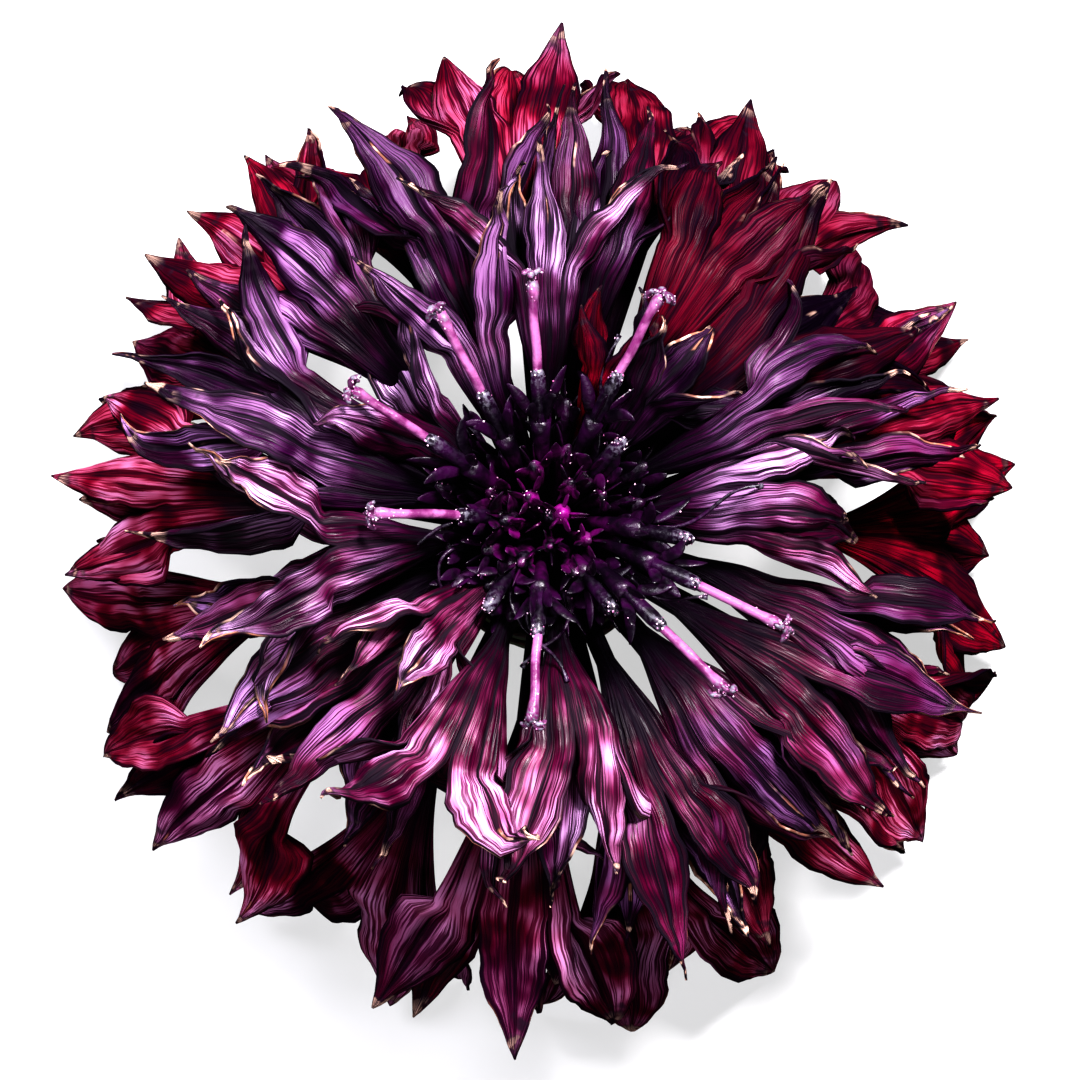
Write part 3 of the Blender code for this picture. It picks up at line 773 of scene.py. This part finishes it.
for tier, seed, slot, petal in TIERS:
    for number, own in enumerate(OWN[tier], 1):
        chance = np.random.default_rng(seed + number)
        habit = dict(USUAL[tier], roll=chance.uniform(0, 72), lobes=int(chance.choice((4, 5, 5, 6))))
        habit.update(own)
        own_petal = crimson_petal if habit["tone"] < 0 else petal
        corolla(f"{tier}_corolla_{number}", f"{tier}_floret_{number}", Look(**habit), chance, own_petal, slot)


# ---- Disc florets ------------------------------------------------------------------------
# In the middle stand the small dark florets: a slim tube with five narrow lobes, and the fused
# anthers as a darker pipe with a grey, dusty end. From the ripe ones a lilac style has grown
# out, and it ends in short frilly branches covered in pale pollen.
DISC_FLORETS = 13
DISC_SIDES = 12
CORNERS_OF_CAD_RING = 6
DISC_LINE_POINTS = 80
TUBE_FOOT = 14.0 * MM
THROAT_RADIUS = 0.50 * MM
DISC_LOBES = 5
ANTHER_LENGTH = 2.6 * MM
STYLE_LENGTH = 3.9 * MM
# A floret whose CAD solid reaches this far from the axis is a ripe one.
RIPE_REACH = 7.2 * MM
STIGMA_FLAPS = 4
STIGMA_LENGTH = 1.0 * MM
GRAINS_PER_SQUARE_MM = 11.0
GRAIN_RADIUS = 0.045 * MM
# Painted light: the disc is painted magenta round this point of its axis, the top of its dome, and less and
# less towards its rim, as painted shade among the petals.
HEART_HEIGHT = 19.0 * MM
HEART_RADIUS = 1.2 * MM
HEART_FADES_OUT = 3.8 * MM
# Dried filaments by the ripe floret they hang at: bearing in degrees, reach, height and length in mm.
THREADS = {
    3: ((58, 4.2, 19.2, 4.6),),
    7: ((186, 4.2, 18.8, 4.2), (200, 4.4, 18.2, 3.4)),
    9: ((258, 4.4, 18.8, 4.0), (282, 4.4, 18.4, 3.6)),
    12: ((352, 4.8, 19.6, 5.4), (322, 4.6, 19.2, 4.0)),
}


def disc_line(node):
    """The middle of a disc floret's CAD solid as a smooth line from its foot to its tip."""
    corners = np.unique(np.round(cad_corners(node), 7), axis=0)
    foot = corners[np.argsort(corners[:, 2])[:CORNERS_OF_CAD_RING]].mean(0)
    away = corners - foot
    order = np.argsort(away[:, 2] + np.hypot(away[:, 0], away[:, 1]))
    rings = np.array_split(corners[order], len(corners) // CORNERS_OF_CAD_RING)
    line = np.array([ring.mean(0) for ring in rings])
    run = run_of(line)
    return softened(points_at(line, run, np.linspace(0.0, run[-1], DISC_LINE_POINTS)), 60)


def part_of(line, low, high, count):
    """Points of a line between two lengths measured from its end."""
    run = run_of(line)
    return points_at(line, run, run[-1] - np.linspace(high, low, count))


def profile(count, rings, values):
    """A value for each of a hose's rings, given at some of them."""
    return np.interp(np.arange(count), rings, values)


def whorl(ahead, aside, count, first, stray, chance):
    """Directions evenly round the one ahead, each a little astray."""
    side = unit(np.cross(ahead, aside))
    other = np.cross(ahead, side)
    for number in range(count):
        angle = first + 2 * math.pi * number / count + chance.normal() * stray
        yield side * math.cos(angle) + other * math.sin(angle)


class Growth:
    """Collects the closed shapes of one disc floret, with the shading values of each."""

    KEYS = ("style", "bloom", "dust")

    def __init__(self):
        self.points, self.faces = [], []
        self.values = {key: [] for key in self.KEYS}

    def hose(self, line, widths, sides, flat=1.0, facing=(0.31, 0.95, 0.05), style=0.0, bloom=0.0, dust=0.0):
        """A tube round a line, capped at both ends. flat is its thickness against its width."""
        ahead = unit(np.gradient(line, axis=0))
        side = unit(np.cross(ahead, facing))
        other = np.cross(ahead, side)
        turn = 2 * np.pi * np.arange(sides) / sides
        rings = rings_round(line, side, other, widths[:, None], flat * widths[:, None], turn)
        self.faces += ring_faces(len(line), sides, sum(len(part) for part in self.points))
        self.points.append(rings.reshape(-1, 3))
        for key, value in zip(self.KEYS, (style, bloom, dust)):
            rows = np.broadcast_to(np.asarray(value, float).reshape(-1, 1), (len(line), sides))
            self.values[key].append(rows.reshape(-1))

    def ray(self, foot, ahead, out, lean, length, widths, **look):
        """A flat narrow flap that starts at its foot and leans outwards by the given degrees."""
        lean = np.radians(lean)[:, None]
        step = ahead * np.cos(lean) + out * np.sin(lean)
        self.hose(foot + np.cumsum(step, axis=0) * length / len(lean), widths, 8, **look)

    def star(self, place, ahead, length, open_degrees, curl_degrees, bloom, chance):
        """The five narrow lobes at the mouth of a disc floret's tube."""
        u = np.linspace(0.0, 1.0, 9)
        for out in whorl(ahead, (0.2, 0.9, 0.3), DISC_LOBES, chance.uniform(0, 6.28), 0.12, chance):
            lean = open_degrees + chance.normal() * 12 + (curl_degrees + chance.normal() * 25) * u ** 1.5
            widths = (0.30 * MM) * np.sin(np.pi * (0.16 + 0.82 * u)) ** 0.8 + 0.02 * MM
            self.ray(place + out * 0.75 * THROAT_RADIUS, ahead, out, lean, length * chance.uniform(0.75, 1.2),
                     widths, flat=0.30, facing=np.cross(ahead, out), bloom=bloom * (1 - 0.6 * u), dust=0.02)

    def stigma(self, tip, ahead, chance):
        """The style's end, split into branches whose frilly halves curl back like a small star."""
        u = np.linspace(0.0, 1.0, 9)
        for out in whorl(ahead, chance.normal(size=3), STIGMA_FLAPS, 0.0, 0.3, chance):
            lean = 30 + 120 * u + chance.normal() * 22
            widths = np.interp(u, [0, 0.6, 1], [0.16, 0.21, 0.10]) * MM
            self.ray(tip, ahead, out, lean, chance.uniform(0.65, 1.0) * STIGMA_LENGTH, widths,
                     flat=0.7, style=0.45, dust=1.0)

    def thread(self, bearing, reach, height, length, chance):
        """A fine dried filament that curls between the disc and the petals."""
        u = np.linspace(0.0, 1.0, 22)
        bearing = math.radians(bearing)
        turn = bearing + np.cumsum(chance.normal() * 0.03 + 0.10 * np.sin(5 * u + chance.uniform(0, 6)))
        lift = 0.5 * np.sin(4 * u + chance.uniform(0, 6))
        step = np.stack([np.cos(turn), np.sin(turn), lift], axis=1)
        start = CENTRE + np.array([reach * math.cos(bearing), reach * math.sin(bearing), height]) * MM
        line = start + np.cumsum(step, axis=0) * length * MM / len(u)
        widths = np.interp(u, [0, 0.9, 1], [0.10, 0.08, 0.15]) * MM
        self.hose(line, widths, 6, bloom=0.5, dust=0.1 + 0.5 * (u > 0.9))

    def piece(self, name, material):
        made = skin(name, np.concatenate(self.points), self.faces, material)
        for key, kept in self.values.items():
            shade_by(made, key, np.concatenate(kept))
        return made


def disc_tissue():
    tissue = Tissue("disc_violet", roughness=0.34, Specular_IOR_Level=0.25)
    style, bloom, dust = (tissue.attribute(key) for key in Growth.KEYS)
    grain = tissue.noise(4200.0)
    cloud = tissue.noise(900.0)
    heart = {0: tissue.place(), 1: (AXIS.x, AXIS.y, FLOOR + HEART_HEIGHT)}
    away = add_node(tissue.tree, "ShaderNodeVectorMath", heart, operation="DISTANCE")["Value"]
    # Painted light on the disc, strongest at its heart and fading into painted shade towards the rim.
    painted_light_falloff = tissue.step(away, HEART_RADIUS, HEART_FADES_OUT, 1.0, 0.05)
    dark = tissue.mix(tissue.step(cloud, 0.40, 0.70), (0.003, 0.0006, 0.004), (0.016, 0.001, 0.018))
    lit = tissue.times(bloom, painted_light_falloff, tissue.step(cloud, 0.36, 0.64))
    dark = tissue.mix(lit, dark, (0.17, 0.002, 0.125))
    lilac = tissue.mix(tissue.step(cloud, 0.38, 0.62), (0.09, 0.012, 0.062), (0.24, 0.08, 0.19))
    color = tissue.mix(style, dark, lilac)
    color = tissue.mix(tissue.times(dust, tissue.step(grain, 0.45, 0.62)), color, (0.13, 0.12, 0.15))
    tissue.bump(grain, strength=0.35, depth=0.10 * MM)
    return tissue.finish(color)


def pollen_tissue():
    tissue = Tissue("pollen", roughness=0.7)
    grain = tissue.noise(3000.0)
    return tissue.finish(tissue.mix(tissue.step(grain, 0.4, 0.6), (0.30, 0.08, 0.20), (0.70, 0.50, 0.62)))


def dusting(material):
    """Geometry Nodes: scatters pollen grains over a piece where its dust attribute is high."""
    tree, given, result = node_tree(
        "dusting", ("Grains Per Area", "Float", GRAINS_PER_SQUARE_MM / (MM * MM)),
        ("Grain Radius", "Float", GRAIN_RADIUS), ("Seed", "Int", 3))
    dust = add_node(tree, "GeometryNodeInputNamedAttribute", {"Name": "dust"}, data_type="FLOAT")
    density = add_node(tree, "ShaderNodeMath", {0: dust["Attribute"], 1: given["Grains Per Area"]},
                       operation="MULTIPLY")
    scatter = add_node(tree, "GeometryNodeDistributePointsOnFaces",
                       {"Mesh": given["Geometry"], "Density": density[0], "Seed": given["Seed"]})
    ball = add_node(tree, "GeometryNodeMeshIcoSphere", {"Radius": given["Grain Radius"], "Subdivisions": 1})
    sizes = add_node(tree, "FunctionNodeRandomValue", {2: 0.55, 3: 1.25, "Seed": given["Seed"]})
    grains = add_node(tree, "GeometryNodeInstanceOnPoints",
                      {"Points": scatter["Points"], "Instance": ball["Mesh"], "Scale": sizes[1]})
    both = tree.nodes.new("GeometryNodeJoinGeometry")
    tree.links.new(dressed(tree, grains[0], material), both.inputs[0])
    tree.links.new(given["Geometry"], both.inputs[0])
    tree.links.new(both.outputs[0], result)
    return tree


disc_violet = disc_tissue()
pollen_dusting = dusting(pollen_tissue())
for number in range(1, DISC_FLORETS + 1):
    node = f"disc_floret_{number}"
    chance = np.random.default_rng(900 + number)
    line = disc_line(node)
    ripe = np.hypot(*(line[-1, :2] - CENTRE[:2])) > RIPE_REACH
    style = STYLE_LENGTH if ripe else 0.0
    tube_end = style + ANTHER_LENGTH
    growth = Growth()
    growth.hose(part_of(line, tube_end, TUBE_FOOT, 14),
                profile(14, [0, 9, 11, 13], [0.24, 0.28, 0.40, 0.50]) * MM, DISC_SIDES, bloom=0.25)
    growth.hose(part_of(line, style, tube_end + 0.5 * MM, 12),
                profile(12, [0, 2, 8, 10, 11], [0.28, 0.33, 0.37, 0.31, 0.14]) * MM, DISC_SIDES,
                dust=profile(12, [0, 7.5, 10, 11], [0.0, 0.05, 0.7, 0.8]))
    mouth = part_of(line, tube_end, tube_end + 0.4 * MM, 2)
    growth.star(mouth[1], unit(mouth[1] - mouth[0]), 2.2 * MM, 22, 40, 0.6, chance)
    if ripe:
        wobble = 0.05 * MM * np.sin(np.linspace(0, 9, 14) + chance.uniform(0, 6))[:, None]
        stalk = part_of(line, 0.0, style + 0.4 * MM, 14) + wobble * np.array([0.6, -0.4, 0.7])
        growth.hose(stalk, profile(14, [0, 10, 12, 13], [0.22, 0.22, 0.30, 0.24]) * MM, 10,
                    style=1.0, dust=profile(14, [0, 10, 13], [0.0, 0.04, 0.9]))
        growth.stigma(stalk[-1], unit(stalk[-1] - stalk[-3]), chance)
    for filament in THREADS.get(number, ()):
        growth.thread(*filament, chance)
    tube = baked(growth.piece(node + "_raw", disc_violet), f"disc_tube_{number}", pollen_dusting)
    stands_for(tube, node, "disc_tube")


# ---- Young disc florets ------------------------------------------------------------------
# The youngest florets, still shut or half open, crowd the dome between the others. They are
# dark buds on short tubes, set in the spiral that all such flowers grow in.
YOUNG_FLORETS = 36
YOUNG_LENGTH = 5.2 * MM
YOUNG_MOUTH = -1.1 * MM
GOLDEN_ANGLE = math.radians(137.5)
# The dome: the spiral's spacing in mm, its top in mm above the floor, and how it drops and leans.
DOME_SPACING = 0.95
DOME_TOP = 18.9
DOME_DROP = 0.05
DOME_LEAN = 8.5


def crowd(material):
    """Geometry Nodes: stands copies of one floret on points, each leaning and turned its own way."""
    tree, given, result = node_tree("crowd", ("One Floret", "Object", None), ("Smallest", "Float", None),
                                    ("Largest", "Float", None), ("Seed", "Int", None))
    source = add_node(tree, "GeometryNodeObjectInfo", {"Object": given["One Floret"]})
    lean = add_node(tree, "GeometryNodeInputNamedAttribute", {"Name": "lean"}, data_type="FLOAT_VECTOR")
    aim = add_node(tree, "FunctionNodeAlignEulerToVector", {"Vector": lean["Attribute"]}, axis="Z")
    sizes = add_node(tree, "FunctionNodeRandomValue",
                     {2: given["Smallest"], 3: given["Largest"], "Seed": given["Seed"]})
    stand = add_node(tree, "GeometryNodeInstanceOnPoints",
                     {"Points": given["Geometry"], "Instance": source["Geometry"],
                      "Rotation": aim["Rotation"], "Scale": sizes[1]})
    spins = add_node(tree, "FunctionNodeRandomValue", {3: 2 * math.pi, "Seed": given["Seed"]})
    turn = add_node(tree, "ShaderNodeCombineXYZ", {"Z": spins[1]})
    spin = add_node(tree, "GeometryNodeRotateInstances", {"Instances": stand[0], "Rotation": turn[0]})
    tree.links.new(dressed(tree, spin[0], material), result)
    return tree


young = Growth()
shares = np.linspace(0.0, 1.0, 9)
young_widths = np.interp(shares, [0, 0.5, 0.72, 0.9, 1.0], [0.2, 0.24, 0.42, 0.44, 0.12]) * MM
young.hose(np.outer(shares - 1, (0, 0, YOUNG_LENGTH)), young_widths, 10,
           bloom=shares, dust=0.12 * shares ** 4)
young.star(np.array([0, 0, YOUNG_MOUTH]), np.array([0.0, 0.0, 1.0]), 1.9 * MM, 16, 28, 1.0,
           np.random.default_rng(5))
one_young = young.piece("one_young_floret", disc_violet)
chance = np.random.default_rng(41)
spots, leans = [], []
for number in range(YOUNG_FLORETS):
    angle = number * GOLDEN_ANGLE
    reach = DOME_SPACING * math.sqrt(number + 0.6)
    height = DOME_TOP - DOME_DROP * reach ** 2 + chance.uniform(-0.5, 0.5)
    out = np.array([math.cos(angle), math.sin(angle), 0.0])
    spots.append(CENTRE + (out * reach + np.array([0, 0, height])) * MM)
    leans.append(unit(out * math.tan(math.radians(DOME_LEAN * reach)) + np.array([0, 0, 1.0])))
dome = bpy.data.meshes.new("young_spots")
dome.from_pydata([tuple(spot) for spot in spots], [], [])
leaning = dome.attributes.new("lean", "FLOAT_VECTOR", "POINT")
leaning.data.foreach_set("vector", np.array(leans).reshape(-1))
young_raw = baked(placed("young_spots", dome), "young_florets_raw", crowd(disc_violet),
                  {"One Floret": one_young, "Smallest": 0.8, "Largest": 1.15, "Seed": 7})
bpy.data.objects.remove(one_young)
young_florets = baked(young_raw, "young_disc_florets", pollen_dusting)
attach(young_florets, "root")


# ---- Floor, light and camera -------------------------------------------------------------
# The flower lies on a plain white card under three softboxes, and the camera looks down on it.
# The card glows a little of itself, so that it stays white while the flower's shadow shows.
CARD_REACH = 3.0
CARD_GREY = 0.20
CARD_GLOW = 0.44
SKY_COLOR = (0.90, 0.92, 1.0, 1.0)
SKY_STRENGTH = 0.06
LIT_SPOT = (0, 0, 0.01)
CAMERA_ELEVATION = math.radians(85)
CAMERA_DISTANCE = 0.21
CAMERA_LENS = 147.8
CAMERA_AIM_ASIDE = Vector((-0.24, -0.38, 0.0)) * MM
CAMERA_AIM_HEIGHT = 0.9

card = Tissue("white_card", roughness=0.9, Base_Color=(CARD_GREY, CARD_GREY, CARD_GREY, 1.0),
              Emission_Color=(1.0, 1.0, 1.0, 1.0), Emission_Strength=CARD_GLOW)
floor_corners = [(x * CARD_REACH, y * CARD_REACH, 0) for x, y in ((-1, -1), (1, -1), (1, 1), (-1, 1))]
floor = skin("floor", floor_corners, [(0, 1, 2, 3)], card.material)
floor.visible_diffuse = False
floor.visible_glossy = False

world = bpy.data.worlds.new("studio")
bpy.context.scene.world = world
world.use_nodes = True
world.node_tree.nodes["Background"].inputs["Color"].default_value = SKY_COLOR
world.node_tree.nodes["Background"].inputs["Strength"].default_value = SKY_STRENGTH


def softbox(name, place, size, power, color):
    light = bpy.data.lights.new(name, "AREA")
    light.shape = "RECTANGLE"
    light.size, light.size_y = size
    light.energy = power
    light.color = color
    lamp = placed(name, light)
    lamp.location = place
    lamp.rotation_euler = (Vector(LIT_SPOT) - Vector(place)).to_track_quat("-Z", "Y").to_euler()


softbox("window", (-0.26, 0.24, 0.46), size=(0.24, 0.24), power=4.5, color=(0.92, 0.90, 1.0))
softbox("top", (0.17, 0.28, 0.50), size=(0.11, 0.11), power=12.0, color=(1.0, 0.97, 1.0))
softbox("front", (-0.08, -0.32, 0.45), size=(0.34, 0.24), power=1.6, color=(0.94, 0.92, 1.0))

low, high = (Vector(corner) for corner in cad_box)
centre = (low + high) / 2
camera_data = bpy.data.cameras.new("camera")
camera_data.lens = CAMERA_LENS
camera_data.sensor_width = 36.0
camera_data.clip_start = 0.01
camera = placed("camera", camera_data)
aim = Vector((centre.x, centre.y, centre.z * CAMERA_AIM_HEIGHT)) + CAMERA_AIM_ASIDE
camera.location = aim + CAMERA_DISTANCE * Vector((0, -math.cos(CAMERA_ELEVATION), math.sin(CAMERA_ELEVATION)))
camera.rotation_euler = (aim - camera.location).to_track_quat("-Z", "Y").to_euler()
bpy.context.scene.camera = camera
bpy.context.scene.view_settings.view_transform = "Standard"
bpy.context.scene.view_settings.look = "High Contrast"
